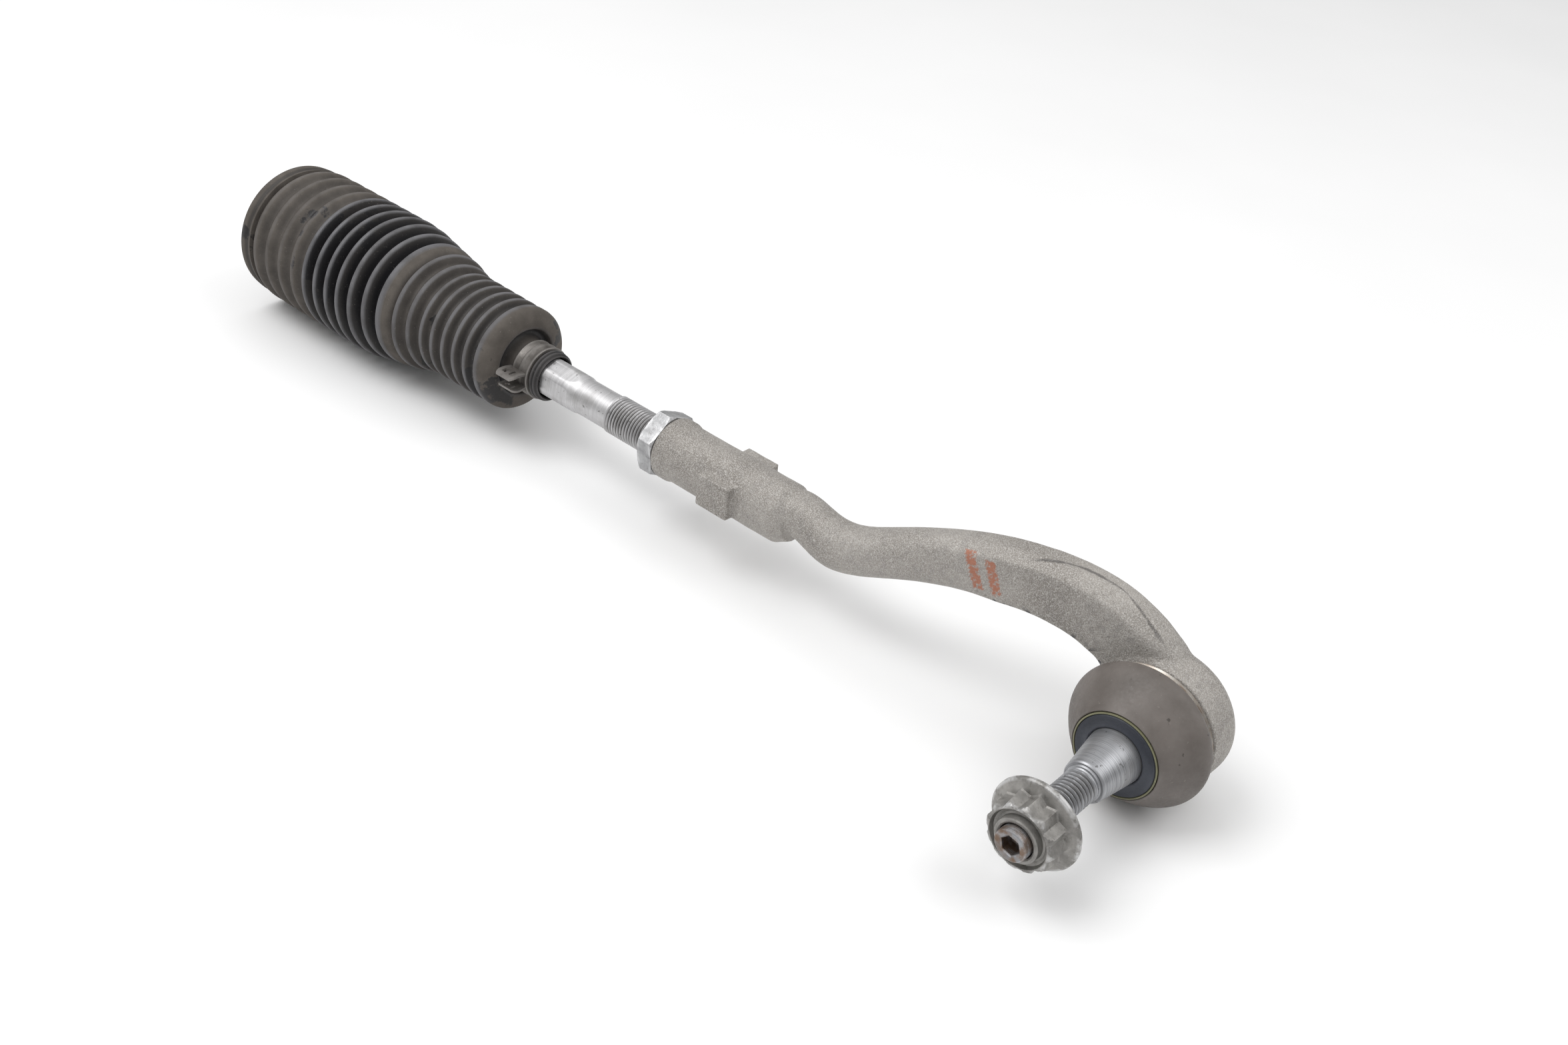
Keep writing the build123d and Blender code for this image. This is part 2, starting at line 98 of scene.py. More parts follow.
# ---------------------------------------------------------------- turned meshes
def hexagon(flats, turn=0.0):
    """Radius of a hexagon with that distance across its flats, as a function of the angle."""
    sector = math.pi / 3

    def radius(angle):
        within = (angle + turn) % sector - sector / 2
        return flats / 2 / np.cos(within)
    return radius


def thread_rows(start, stop, thread, fade=0.0):
    """Profile rows of a right-hand thread, which grows out of the shank over the first fade millimetres."""
    crest, depth, pitch = thread
    rows = []
    for along in rows_between(start, stop, pitch / STEPS_PER_PITCH):
        grown = 1.0 if fade == 0.0 else min(1.0, (along - start) / fade)

        def tooth(angle, along=along):
            phase = (along / pitch - angle / (2 * math.pi)) % 1.0
            return np.clip(1.28 * (1 - np.abs(2 * phase - 1)) - 0.14, 0.0, 1.0)

        def radius(angle, grown=grown, tooth=tooth):
            return crest - depth * grown * (1 - tooth(angle))

        def groove(angle, grown=grown, tooth=tooth):
            return grown * (1 - tooth(angle))
        rows.append((along, radius, 0.0, groove))
    return rows


def rows_between(start, stop, step):
    """Even stations from start to stop, no further apart than the step."""
    count = max(1, math.ceil((stop - start) / step))
    return [start + (stop - start) * i / count for i in range(count + 1)]


def turned(name, place, profile, segments=160, loop=False, sharp=28):
    """A mesh turned about an axis.

    A profile row is (along, radius, tint, groove), the first two in millimetres. The last two may be left out.
    A radius or a groove may depend on the angle.
    """
    origin, axis, side, up = (np.array(v) for v in place)
    angles = np.arange(segments) * 2 * math.pi / segments
    spokes = np.outer(np.cos(angles), side) + np.outer(np.sin(angles), up)
    verts, tints, grooves, rings = [], [], [], []
    count = 0
    for along, radius, *marks in profile:
        pole = not callable(radius) and radius <= 0.0
        r = radius(angles) if callable(radius) else np.full(segments, float(radius))
        size = 1 if pole else segments
        centre = origin + axis * along * MM
        verts.append(centre[None, :] if pole else centre + spokes * (r * MM)[:, None])
        tints.append(np.full(size, marks[0] if marks else 0.0))
        groove = marks[1](angles) if len(marks) > 1 and callable(marks[1]) else np.zeros(size)
        grooves.append(groove)
        rings.append(np.full(segments, count) if pole else count + np.arange(segments))
        count += size
    faces = []
    pairs = list(zip(rings, rings[1:])) + ([(rings[-1], rings[0])] if loop else [])
    for a, b in pairs:
        quads = np.stack([a, np.roll(a, -1), np.roll(b, -1), b], axis=1)
        if a[0] == a[1] and b[0] == b[1]:
            continue
        if a[0] == a[1]:
            quads = quads[:, 1:]
        elif b[0] == b[1]:
            quads = quads[:, :3]
        faces.extend(quads.tolist())
    mesh = bpy.data.meshes.new(name)
    mesh.from_pydata(np.concatenate(verts).tolist(), [], faces)
    point_values(mesh, "tint", np.concatenate(tints))
    point_values(mesh, "groove", np.concatenate(grooves))
    return mesh_object(name, mesh, sharp)


def point_values(mesh, name, values):
    """Store one number per vertex for the materials."""
    mesh.attributes.new(name, "FLOAT", "POINT").data.foreach_set("value", np.asarray(values, np.float32))


def mesh_object(name, mesh, sharp=28):
    """A smooth-shaded object with outward normals, whose edges over the angle stay sharp."""
    bm = bmesh.new()
    bm.from_mesh(mesh)
    bmesh.ops.recalc_face_normals(bm, faces=bm.faces)
    bm.to_mesh(mesh)
    bm.free()
    mesh.polygons.foreach_set("use_smooth", np.ones(len(mesh.polygons), bool))
    mesh.set_sharp_from_angle(angle=math.radians(sharp))
    obj = bpy.data.objects.new(name, mesh)
    bpy.context.scene.collection.objects.link(obj)
    return obj


def smooth_profile(points, steps=6):
    """Catmull-Rom curve through (along, radius, tint) points."""
    rows = []
    ends = [points[0]] + list(points) + [points[-1]]
    for p0, p1, p2, p3 in zip(ends, ends[1:], ends[2:], ends[3:]):
        for s in range(steps):
            t = s / steps
            rows.append(tuple(
                0.5 * (2 * b + (c - a) * t + (2 * a - 5 * b + 4 * c - d) * t * t
                       + (3 * b - a - 3 * c + d) * t ** 3)
                for a, b, c, d in zip(p0, p1, p2, p3)))
    rows.append(tuple(points[-1]))
    return rows


def place_piece(obj, body, node, material):
    """Give a piece its material and body, and hide the CAD node that it stands for."""
    obj.data.materials.clear()
    obj.data.materials.append(material)
    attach(obj, body)
    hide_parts(node)
    return obj


# ---------------------------------------------------------------- material nodes
def opaque(color):
    """A colour with full alpha; a linked socket stays as it is."""
    return color if isinstance(color, bpy.types.NodeSocket) else (*color, 1.0)


def scaled(color, factor):
    """A colour made darker or lighter, up to white."""
    return tuple(min(1.0, c * factor) for c in color)


class Shader:
    """A short way to write a material's nodes."""

    def __init__(self, name, roughness=0.5, metallic=0.0):
        self.mat = bpy.data.materials.new(name)
        self.mat.use_nodes = True
        self.tree = self.mat.node_tree
        self.bsdf = self.tree.nodes["Principled BSDF"]
        self.bsdf.inputs["Roughness"].default_value = roughness
        self.bsdf.inputs["Metallic"].default_value = metallic
        self.coord = self.tree.nodes.new("ShaderNodeTexCoord").outputs["Object"]

    def node(self, kind, **settings):
        made = self.tree.nodes.new(kind)
        for key, value in settings.items():
            if key in made.inputs.keys():
                self.feed(made.inputs[key], value)
            else:
                setattr(made, key, value)
        return made

    def feed(self, socket, value):
        if isinstance(value, bpy.types.NodeSocket):
            self.tree.links.new(value, socket)
        else:
            socket.default_value = value

    def stretched(self, scale):
        """Object coordinates scaled by three numbers."""
        return self.node("ShaderNodeMapping", Vector=self.coord, Scale=scale).outputs["Vector"]

    def noise(self, scale, detail=4.0, vector=None, rough=0.55):
        """Noise value, scale in cells per metre."""
        made = self.node(
            "ShaderNodeTexNoise", Vector=vector or self.coord, Scale=scale, Detail=detail, Roughness=rough,
        )
        return made.outputs["Fac"]

    def ramp(self, value, low, high, a=0.0, b=1.0):
        """The value's share between low and high, clamped, spread from a to b."""
        made = self.node("ShaderNodeMapRange")
        given = {"Value": value, "From Min": low, "From Max": high, "To Min": a, "To Max": b}
        for key, number in given.items():
            self.feed(made.inputs[key], number)
        made.clamp = True
        return made.outputs["Result"]

    def math(self, operation, a, b=0.0):
        made = self.node("ShaderNodeMath", operation=operation)
        self.feed(made.inputs[0], a)
        self.feed(made.inputs[1], b)
        return made.outputs["Value"]

    def mix(self, factor, a, b):
        """Mix of two colours."""
        made = self.node("ShaderNodeMix", data_type="RGBA")
        self.feed(made.inputs[0], factor)
        self.feed(made.inputs[6], opaque(a))
        self.feed(made.inputs[7], opaque(b))
        return made.outputs[2]

    def attribute(self, name):
        return self.node("ShaderNodeAttribute", attribute_name=name).outputs["Fac"]

    def bump(self, height, distance, strength=1.0, normal=None):
        """Add a bump of that height in metres."""
        made = self.node("ShaderNodeBump", Height=height, Distance=distance, Strength=strength)
        if normal is not None:
            self.feed(made.inputs["Normal"], normal)
        return made.outputs["Normal"]

    def done(self, color, rough=None, normal=None):
        """Link the results to the surface and hand back the material."""
        self.feed(self.bsdf.inputs["Base Color"], color)
        if rough is not None:
            self.feed(self.bsdf.inputs["Roughness"], rough)
        if normal is not None:
            self.feed(self.bsdf.inputs["Normal"], normal)
        return self.mat


def cast_alloy():
    """Sand-blasted forging: warm grey, fine grain, soft stains, a few dark nicks and an orange paint dab."""
    stained, plain, blasted = (0.222, 0.203, 0.182), (0.345, 0.322, 0.296), (0.52, 0.50, 0.475)
    pit_brown, nick_black, seam_black = (0.105, 0.095, 0.086), (0.050, 0.050, 0.058), (0.085, 0.080, 0.078)
    paint_orange = (0.40, 0.145, 0.080)
    s = Shader("sandblasted_alloy", metallic=0.30)
    s.bsdf.inputs["Specular IOR Level"].default_value = 0.4
    grain = s.noise(2400, 3.0)
    fine = s.noise(900, 5.0)
    stain = s.noise(34, 5.0)
    color = s.mix(s.ramp(stain, 0.34, 0.66), stained, plain)
    color = s.mix(s.ramp(grain, 0.44, 0.68), color, blasted)
    pits = s.ramp(s.noise(1500, 2.0), 0.30, 0.40, 1.0, 0.0)
    color = s.mix(s.math("MULTIPLY", pits, 0.45), color, pit_brown)
    nick = s.math("MULTIPLY", s.ramp(s.noise(300, 4.0), 0.535, 0.58), s.attribute("nicks"))
    color = s.mix(nick, color, nick_black)
    wobble = s.math("ADD", s.attribute("seam"), s.ramp(s.noise(190, 3.0), 0.3, 0.7, -0.3, 0.3))
    seam = s.math("MULTIPLY", s.ramp(wobble, 0.12, 0.62, 1.0, 0.0), s.attribute("seam_strength"))
    color = s.mix(s.math("MULTIPLY", seam, 0.72), color, seam_black)
    paint = s.math("MULTIPLY", s.attribute("paint"), s.ramp(s.noise(650, 5.0), 0.36, 0.50, 0.0, 0.85))
    color = s.mix(paint, color, paint_orange)
    normal = s.bump(grain, 0.00022, 0.8)
    normal = s.bump(fine, 0.0005, 0.5, normal)
    normal = s.bump(s.math("SUBTRACT", 1.0, seam), 0.0005, 0.7, normal)
    return s.done(color, s.ramp(fine, 0.3, 0.7, 0.50, 0.68), normal)


def bright_steel(name, axis, tone, streak, rough, rust=0.0):
    """Turned steel with fine scratches round the given axis, painted shade in its grooves and soft handling
    marks.
    """
    handled, speck = (0.26, 0.25, 0.24), (0.07, 0.065, 0.06)
    # near-black colour of the painted shade in thread grooves
    groove_shade, rust_brown = (0.060, 0.054, 0.048), (0.165, 0.096, 0.052)
    s = Shader(name, metallic=0.82)
    scale = [60.0, 60.0, 60.0]
    scale[axis] = 4200.0
    rings = s.noise(1.0, 4.0, s.stretched(scale))
    smear = s.noise(110, 5.0)
    color = s.mix(s.ramp(rings, 0.32, 0.66), scaled(tone, 1 - 0.45 * streak), scaled(tone, 1.25))
    color = s.mix(s.ramp(smear, 0.52, 0.70, 0.0, 0.45), color, handled)
    color = s.mix(s.ramp(s.noise(620, 3.0), 0.66, 0.71, 0.0, 0.6), color, speck)
    # painted shade: the deeper a thread groove, the darker it is painted
    shade_in_groove = s.math("MULTIPLY", s.ramp(s.attribute("groove"), 0.25, 0.95), 0.92)
    color = s.mix(shade_in_groove, color, groove_shade)
    if rust:
        spots = s.math("MULTIPLY", s.ramp(s.noise(330, 6.0), 0.36, 0.60), s.attribute("tint"))
        color = s.mix(s.math("MULTIPLY", spots, rust), color, rust_brown)
    return s.done(color, s.ramp(smear, 0.3, 0.7, *rough), s.bump(rings, 0.00005, 0.6 * streak))


def zinc(name, tone, chip, rough=(0.36, 0.55)):
    """Matte zinc plate, with whitish oxide and bright chips where tint marks an edge."""
    bare, grime = (0.66, 0.66, 0.665), (0.115, 0.105, 0.095)
    s = Shader(name, metallic=0.7)
    cloud = s.noise(240, 6.0)
    fine = s.noise(1700, 3.0)
    color = s.mix(s.ramp(cloud, 0.34, 0.66), scaled(tone, 0.76), scaled(tone, 1.18))
    edge = s.math("MULTIPLY", s.ramp(s.attribute("tint"), 0.55, 1.0), s.ramp(cloud, 0.40, 0.58))
    color = s.mix(s.math("MULTIPLY", edge, chip), color, bare)
    color = s.mix(s.ramp(s.noise(430, 5.0), 0.58, 0.70, 0.0, 0.6), color, grime)
    normal = s.bump(fine, 0.00008, 0.6)
    normal = s.bump(cloud, 0.00025, 0.4, normal)
    return s.done(color, s.ramp(fine, 0.3, 0.7, *rough), normal)


def boot_rubber():
    """Old black rubber: near-black folds, grey tips and lips that are partly scuff and partly painted
    highlight, and brown dust with ragged clean patches.
    """
    clean, dull, dusty = (0.0150, 0.0148, 0.0165), (0.070, 0.061, 0.053), (0.118, 0.104, 0.091)
    # the grey of the tips and lips is partly scuff and partly painted highlight
    scuff_and_highlight_grey, chalk = (0.150, 0.149, 0.158), (0.26, 0.24, 0.22)
    s = Shader("boot_rubber", roughness=0.62)
    s.bsdf.inputs["Specular IOR Level"].default_value = 0.3
    tip, dust = s.attribute("tint"), s.attribute("dust")
    patch = s.noise(30, 9.0, rough=0.62)
    fine = s.noise(900, 5.0)
    soft = s.noise(120, 5.0)
    grime = s.mix(s.ramp(soft, 0.3, 0.7), dull, dusty)
    worn_off = s.ramp(patch, 0.60, 0.62, 1.0, 0.12)
    cover = s.math("MULTIPLY", dust, worn_off)
    color = s.mix(cover, clean, grime)
    # painted highlight mixed with scuff: where tint marks tips and lips, the rubber turns grey
    scuff_and_highlight = s.math("MULTIPLY", s.ramp(tip, 0.25, 0.95), s.ramp(soft, 0.28, 0.60, 0.45, 1.0))
    color = s.mix(s.math("MULTIPLY", scuff_and_highlight, 0.85), color, scuff_and_highlight_grey)
    color = s.mix(s.ramp(s.noise(1300, 2.0), 0.68, 0.74, 0.0, 0.3), color, chalk)
    normal = s.bump(fine, 0.00012, 0.6)
    normal = s.bump(soft, 0.0006, 0.3, normal)
    return s.done(color, s.ramp(cover, 0.0, 1.0, 0.46, 0.78), normal)


def plain_rubber(name, low, high, rough=(0.42, 0.62)):
    """Smooth moulded rubber with faint clouding and a few dark spots."""
    s = Shader(name)
    s.bsdf.inputs["Specular IOR Level"].default_value = 0.35
    cloud = s.noise(80, 6.0)
    fine = s.noise(1100, 4.0)
    color = s.mix(s.ramp(cloud, 0.35, 0.65), low, high)
    color = s.mix(s.ramp(s.noise(260, 3.0), 0.69, 0.73, 0.0, 0.7), color, scaled(low, 0.35))
    color = s.mix(s.ramp(s.noise(900, 2.0), 0.68, 0.75, 0.0, 0.4), color, scaled(high, 1.6))
    return s.done(color, s.ramp(fine, 0.3, 0.7, *rough), s.bump(fine, 0.00006, 0.6))


def plastic(name, tone, rough=(0.35, 0.5)):
    """Natural moulded plastic."""
    s = Shader(name)
    cloud = s.noise(200, 4.0)
    color = s.mix(s.ramp(cloud, 0.35, 0.65), scaled(tone, 0.8), tone)
    return s.done(color, s.ramp(cloud, 0.3, 0.7, *rough), s.bump(s.noise(1500, 2.0), 0.00003, 0.5))


def worn_spring():
    """Dull strip steel with a brown film and rubbed edges."""
    film, strip, rubbed = (0.090, 0.082, 0.074), (0.185, 0.172, 0.160), (0.34, 0.325, 0.31)
    s = Shader("spring_steel", metallic=0.55)
    cloud = s.noise(190, 6.0)
    fine = s.noise(1500, 3.0)
    color = s.mix(s.ramp(cloud, 0.38, 0.62), film, strip)
    color = s.mix(s.math("MULTIPLY", s.attribute("tint"), 0.35), color, rubbed)
    return s.done(color, s.ramp(fine, 0.3, 0.7, 0.40, 0.58), s.bump(fine, 0.00008, 0.6))


# ---------------------------------------------------------------- rack boot
BOOT_WALL = 1.8
BOOT_SEGMENTS = 176
LAST_INNER_FOLD = -87.0
# X and tip radius along the boot: level, then stepping down to the small folds
BOOT_KNEES = [
    (-240, 31.0), (-224, 31.65), (-164, 31.4), (-145, 27.8), (-136, 26.2), (-125, 23.0), (-84, 22.3),
]
# each group of folds: how many, the first tip's X, and the shape, lightened tip and dust of one fold; lift
# lightens the tip, partly as scuff and partly as painted highlight
WIDE_FOLDS = (
    4, -227.5, {"pitch": 9.2, "depth": 2.5, "flat": 0.8, "steep": 1.0, "lift": 0.42, "dust_tip": 1.0},
)
DEEP_FOLDS = (
    7, -191.8, {"pitch": 7.8, "depth": 5.4, "flat": 1.1, "steep": 1.35, "lift": 1.0, "dust_tip": 0.30},
)
SMALL_FOLDS = (
    8, -136.0, {"pitch": 6.8, "depth": 2.7, "flat": 1.1, "steep": 1.30, "lift": 0.85, "dust_tip": 0.65},
)
FOLD_STEPS = 10


def boot_envelope(x):
    """Radius of the boot's fold tips at x."""
    for (x0, r0), (x1, r1) in zip(BOOT_KNEES, BOOT_KNEES[1:]):
        if x <= x1:
            return r0 + (r1 - r0) * (x - x0) / (x1 - x0)
    return BOOT_KNEES[-1][1]


def fold_rows(tip, pitch, depth, flat, steep, lift, dust_tip, dust_valley, part=(-1.0, 1.0)):
    """One fold: a tip of that flat width, walls that drop the sooner the steeper, and a rounded valley."""
    rows = []
    for i in range(2 * FOLD_STEPS + 1):
        share = -1 + i / FOLD_STEPS
        if not part[0] <= share <= part[1]:
            continue
        offset = share * pitch / 2
        beyond = max(0.0, abs(offset) - flat / 2) / (pitch / 2 - flat / 2)
        drop = (1 - math.cos(math.pi * min(1.0, beyond * steep))) / 2
        # lightened tip: partly scuff, partly painted highlight
        tint = lift * max(0.0, 1 - drop * 4.5)
        dust = dust_tip + (dust_valley - dust_tip) * min(1.0, drop * 1.6)
        rows.append((tip + offset, boot_envelope(tip + offset) - depth * drop, tint, dust))
    return rows


def boot_outside(mouth, end):
    """Outer line of the boot from its mouth to the tip of its neck: (along, radius, tint, dust). The tint
    lightens the mouth's rim, the fold tips and the neck's lip and ribs, partly as scuff and partly as painted
    highlight.
    """
    rows = [
        (mouth, 28.6, 0.0, 1.0), (mouth + 0.2, 30.0, 0.5, 1.0), (mouth + 0.9, 30.5, 0.3, 1.0),
        (mouth + 3.6, 30.8, 0.0, 1.0), (mouth + 4.2, 30.3, 0.0, 0.5), (mouth + 5.2, 30.0, 0.0, 0.4),
        (mouth + 6.2, 30.4, 0.0, 0.8), (mouth + 7.4, 30.6, 0.1, 1.0),
    ]
    count, first, fold = WIDE_FOLDS
    for i in range(count):
        rows += fold_rows(first + fold["pitch"] * i, dust_valley=0.72, **fold)
    count, first, fold = DEEP_FOLDS
    for i in range(count):
        part = (-1.0, 0.25 if i == count - 1 else 1.0)
        rows += fold_rows(first + fold["pitch"] * i, dust_valley=0.20 if i == 0 else 0.0, part=part, **fold)
    rows += [(-142.9, 27.4, 0.5, 0.9), (-142.2, 26.9, 0.0, 1.0), (-140.2, 26.3, 0.0, 1.0)]
    count, first, fold = SMALL_FOLDS
    for i in range(count):
        part = (-0.8 if i == 0 else -1.0, 0.3 if i == count - 1 else 1.0)
        rows += fold_rows(first + fold["pitch"] * i, dust_valley=0.62 - 0.06 * i, part=part, **fold)
    # the tint on the neck's lip and ribs is painted highlight mixed with scuff
    rows += [
        (-86.4, 22.35, 0.3, 1.0), (-85.2, 22.1, 0.2, 1.0), (-84.2, 21.4, 0.1, 1.0), (-83.4, 20.2, 0.0, 1.0),
        (-82.8, 18.6, 0.0, 1.0), (-82.3, 16.8, 0.0, 1.0), (-81.9, 15.4, 0.35, 1.0), (-82.0, 14.7, 0.6, 1.0),
        (-82.6, 14.1, 0.2, 0.6), (-84.2, 13.5, 0.0, 0.2), (-85.0, 12.6, 0.0, 0.1), (-84.8, 11.3, 0.0, 0.2),
        (-83.4, 10.4, 0.0, 0.5), (-81.4, 10.0, 0.0, 0.7), (-78.5, 9.85, 0.0, 0.6), (-69.4, 9.85, 0.0, 0.6),
        (-68.9, 10.0, 0.2, 0.5), (-68.5, 10.6, 0.6, 0.4), (-67.6, 10.7, 0.5, 0.3), (-67.3, 10.2, 0.0, 0.1),
        (-66.9, 10.1, 0.0, 0.1), (-66.6, 10.5, 0.5, 0.3), (-65.8, 10.4, 0.4, 0.3), (-65.5, 9.8, 0.0, 0.1),
        (-65.1, 9.7, 0.3, 0.2), (end, 9.4, 0.4, 0.3),
    ]
    return rows


def make_boot():
    """The bellows with its wall and its lining."""
    mouth, end = span("rack_boot", 0)
    outside = boot_outside(mouth, end)
    inside = [(a, r - BOOT_WALL, 0.0, 0.2) for a, r, _, _ in outside[::3] if a < LAST_INNER_FOLD]
    lining = [
        (-88.4, 19.6, 0.0, 0.2), (-88.0, 12.4, 0.0, 0.2), (-86.2, 9.8, 0.0, 0.2), (-81.0, 8.6, 0.0, 0.2),
        (-66.0, 8.6, 0.0, 0.2), (end - 0.2, 9.0, 0.0, 0.2),
    ]
    loop = outside + list(reversed(lining)) + list(reversed(inside))
    boot = turned("rack_boot_skin", ROD_FRAME, [row[:3] for row in loop], BOOT_SEGMENTS, loop=True, sharp=60)
    point_values(boot.data, "dust", np.repeat([row[3] for row in loop], BOOT_SEGMENTS))
    boot.data.materials.append(boot_rubber())
    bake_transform(boot)
    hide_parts("rack_boot")


# ---------------------------------------------------------------- boot clamp
EAR_STEPS, EAR_COLUMNS = 8, 10
EAR_THICKNESS = 0.9
EAR_HALF_WIDTH = 5.0
EAR_RISE = 2.6
# cells left out of the ear's grid: its square hole, and the slot beside it
EAR_HOLE = {(4, 2), (4, 3), (5, 2), (5, 3)} | {(4, 6), (5, 6), (3, 6)}


def clamp_ear(side, length, foot, middle):
    """One ear of the clamp: a bowed plate with a hole and a slot, standing out towards -Y."""
    verts, tints, grid = [], [], []
    height = ROD_POINT.z / MM + side * EAR_RISE
    for i in range(EAR_STEPS + 1):
        t = i / EAR_STEPS
        half = EAR_HALF_WIDTH - 1.1 * max(0.0, t - 0.72) ** 2 * 12
        lift = height + side * (1.0 * math.sin(math.pi * t * 0.8) - 0.4 * t)
        row = []
        for k in range(EAR_COLUMNS + 1):
            u = -1 + 2 * k / EAR_COLUMNS
            for face in (0.5, -0.5):
                verts.append(Vector((middle + half * u, foot - length * t, lift + face * EAR_THICKNESS)) * MM)
                tints.append(1.0 if abs(u) > 0.75 or t > 0.85 else 0.2)
            row.append((len(verts) - 2, len(verts) - 1))
        grid.append(row)
    cells = {(i, k) for i in range(EAR_STEPS) for k in range(EAR_COLUMNS)} - EAR_HOLE
    faces = []
    for i, k in sorted(cells):
        a, b, c, d = grid[i][k], grid[i][k + 1], grid[i + 1][k + 1], grid[i + 1][k]
        faces += [(a[0], b[0], c[0], d[0]), (d[1], c[1], b[1], a[1])]
        for near, p, q in (((i - 1, k), a, b), ((i, k + 1), b, c), ((i + 1, k), c, d), ((i, k - 1), d, a)):
            if near not in cells:
                faces.append((p[0], p[1], q[1], q[0]))
    name = "clamp_ear_top" if side > 0 else "clamp_ear_bottom"
    mesh = bpy.data.meshes.new(name)
    mesh.from_pydata(verts, [], faces)
    point_values(mesh, "tint", tints)
    return mesh_object(name, mesh, 40)


def make_clamp():
    """The spring band round the boot's neck, and its two ears."""
    lo, hi = span("boot_clamp", 0)
    width = 9.0
    start, stop = hi - width, hi
    inner, outer = 10.0, 11.0
    band = [
        (start, inner, 1.0), (start, outer, 1.0), (start + 0.5, outer + 0.35, 1.0), (start + 1.3, outer, 0.2),
        (start + 3.4, outer - 0.1, 0.1), (start + 4.0, outer + 0.3, 0.6), (start + 5.0, outer + 0.3, 0.6),
        (start + 5.6, outer - 0.1, 0.1), (stop - 1.3, outer, 0.2), (stop - 0.5, outer + 0.35, 1.0),
        (stop, outer, 1.0), (stop, inner, 1.0),
    ]
    steel = worn_spring()
    middle = (lo + hi) / 2 - 0.1
    foot = ROD_POINT.y / MM - inner
    pieces = [turned("clamp_band", ROD_FRAME, band, segments=128, loop=True)]
    pieces += [clamp_ear(1, 8.9, foot, middle), clamp_ear(-1, 7.4, foot, middle)]
    for obj in pieces:
        place_piece(obj, "boot", "boot_clamp", steel)


# ---------------------------------------------------------------- inner tie rod
def make_rod():
    """The inner tie rod: ball, neck, wrench flats, shank and thread."""
    ball_x, ball_r = RACK_BALL.x / MM, 12.0
    shank, corner, runout = 7.45, 8.5, 1.05
    flats_start, flats_stop, thread_start = -66.9, -53.0, -28.0
    thread_stop = span("inner_tie_rod", 0)[1]
    rows = [(ball_x - ball_r, 0.0)]
    for i in range(1, 25):
        angle = math.pi - i * math.radians(150) / 24
        rows.append((ball_x + ball_r * math.cos(angle), ball_r * math.sin(angle)))
    rows += [(ball_x + 14, 6.0), (ball_x + 30, 6.0), (ball_x + 36, 6.4), (ball_x + 44, shank), (-68.4, shank)]
    flats = hexagon(15.9, 0.35)

    def flat_ring(limit):
        return lambda angle: np.minimum(limit, flats(angle))
    rows += [(-68.0, 7.5), (-67.6, flat_ring(7.9))]
    rows += [(flats_start, flat_ring(corner)), (flats_stop, flat_ring(corner))]
    for i in range(1, 13):
        t = i / 12
        rows.append((flats_stop + 7.0 * t, flat_ring(corner - runout * t * t)))
    rows += [(-45.6, shank), (-29.2, shank), (-28.4, 7.5)]
    rows += thread_rows(thread_start, 8.0, ROD_THREAD, fade=1.6)
    rows += [(8.3, 7.2), (thread_stop - 0.8, 7.2), (thread_stop, 6.4), (thread_stop, 0.0)]
    rod = turned("tie_rod", ROD_FRAME, rows, segments=128, sharp=24)
    steel = bright_steel("rod_steel", 0, (0.50, 0.495, 0.50), 0.25, (0.42, 0.52))
    place_piece(rod, "rod", "inner_tie_rod", steel)


# ---------------------------------------------------------------- lock nut
def make_lock_nut():
    """The thin hexagon nut, chamfered on both faces."""
    start, stop = span("lock_nut", 0)
    shape = hexagon(24.0, math.radians(37.0))
    corner, cut, length = 13.86, 1.3, 0.9
    past_corner = 14.0
    bore = 8.05

    def limited(limit):
        return lambda angle: np.minimum(shape(angle), limit)
    rows = [(start + 0.9, bore), (start, bore + 0.8, 0.6), (start, corner - cut - 0.6, 0.5)]
    for i in range(6):
        t = i / 5
        rows.append((start + 0.03 + length * t, limited(corner - cut * (1 - t)), 0.9))
    rows += [(start + 1.4, limited(past_corner), 0.5), (start + 2.4, limited(past_corner), 0.2)]
    rows += [(stop - 2.4, limited(past_corner), 0.2), (stop - 1.4, limited(past_corner), 0.5)]
    for i in range(6):
        t = 1 - i / 5
        rows.append((stop - 0.03 - length * t, limited(corner - cut * (1 - t)), 0.9))
    rows += [(stop, corner - cut - 0.6, 0.4), (stop, bore + 0.3, 0.2), (stop - 0.4, bore)]
    nut = turned("lock_nut_body", ROD_FRAME, rows, segments=240, loop=True, sharp=22)
    place_piece(nut, "jam_nut", "lock_nut", zinc("lock_nut_zinc", (0.36, 0.36, 0.365), 0.6, (0.36, 0.52)))


# ---------------------------------------------------------------- forged arm
# centre line of the swan neck: X, offsets from the rod axis in Y and Z, height and depth of the section
NECK_STATIONS = [
    (98, 0.4, 2.6, 17.6, 17.8), (112, 2.2, 8.6, 18, 17.6), (128, 5, 14.6, 19.6, 17.6),
    (146, 8.6, 18.9, 21.6, 17.6), (168, 12, 21.5, 23.4, 17.4), (186.6, 14.2, 19.4, 26.4, 17),
    (201, 15.6, 11.8, 30, 16.4), (210, 16, 0, 35, 15.6),
]
# corners of the worked section, outwards and forwards, as shares of half its height and half its depth
SECTION = [
    (1.0, 0.45), (0.72, 1.0), (-0.76, 0.97), (-1.0, 0.3),
    (-1.0, -0.3), (-0.7, -0.97), (0.6, -0.97), (1.0, -0.4),
]
EDGE_SHARPNESS = 30
ARM_VOXEL = 0.62
